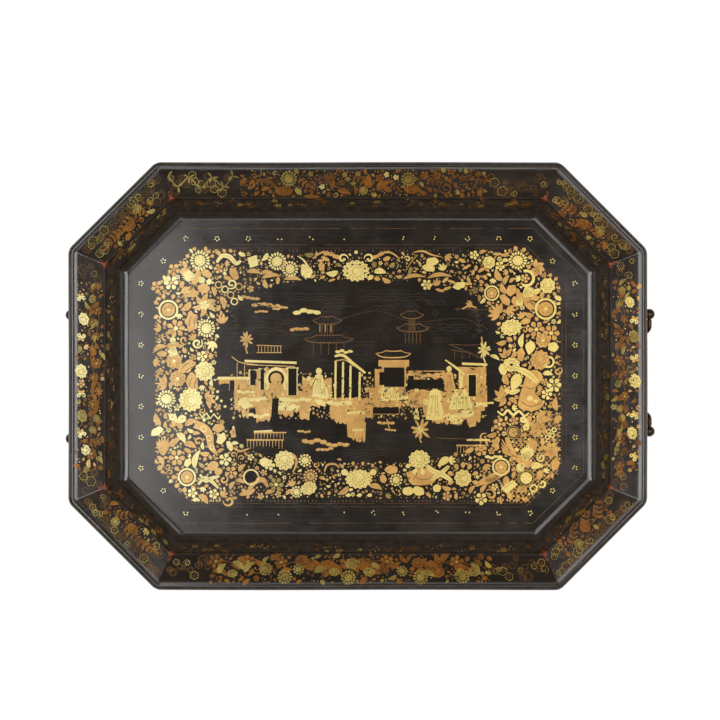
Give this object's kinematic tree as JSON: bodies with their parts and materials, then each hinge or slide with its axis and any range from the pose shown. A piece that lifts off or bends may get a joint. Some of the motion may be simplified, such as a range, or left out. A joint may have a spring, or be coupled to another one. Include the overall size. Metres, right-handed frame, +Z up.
{
  "type": "serving tray",
  "caption": "Octagonal lacquered wood serving tray with moulded flaring sides and a brass drop bail handle at each end.",
  "frame": {"origin": "centre of the flat underside, at the level that the tray stands on", "axes": "+X along the tray towards the right handle, +Y towards the back rail, +Z up out of the tray"},
  "size_m": [0.6239, 0.451, 0.055],
  "materials": {
    "black_lacquer": "aged glossy black lacquer",
    "key_wood": "bare",
    "dark_brass": "dark, handled",
    "gilding": "worn matt gilt painting on the lacquer"
  },
  "bodies": {
    "tray": {"floor_panel": "black_lacquer", "front_rail": "black_lacquer", "back_rail": "black_lacquer", "left_end_rail": "black_lacquer", "right_end_rail": "black_lacquer", "front_left_corner_rail": "black_lacquer", "front_right_corner_rail": "black_lacquer", "back_left_corner_rail": "black_lacquer", "back_right_corner_rail": "black_lacquer", "mitre_key_front_left_long": "key_wood", "mitre_key_front_left_end": "key_wood", "mitre_key_front_right_long": "key_wood", "mitre_key_front_right_end": "key_wood", "mitre_key_back_left_long": "key_wood", "mitre_key_back_left_end": "key_wood", "mitre_key_back_right_long": "key_wood", "mitre_key_back_right_end": "key_wood", "right_back_post": "dark_brass", "right_front_post": "dark_brass", "left_back_post": "dark_brass", "left_front_post": "dark_brass", "right_back_washer": "dark_brass", "right_front_washer": "dark_brass", "left_back_washer": "dark_brass", "left_front_washer": "dark_brass"},
    "right_handle": {"right_bail": "dark_brass"},
    "left_handle": {"left_bail": "dark_brass"}
  },
  "joints": [
    {"name": "right_bail_swing", "type": "hinge", "parent": "tray", "child": "right_handle", "pos_m": [0.3085, 0.0035, 0.0405], "axis": [0, -1, 0], "range_deg": [-21, 217]},
    {"name": "left_bail_swing", "type": "hinge", "parent": "tray", "child": "left_handle", "pos_m": [-0.304, -0.0008, 0.0388], "axis": [0, 1, 0], "range_deg": [-13, 195]}
  ]
}
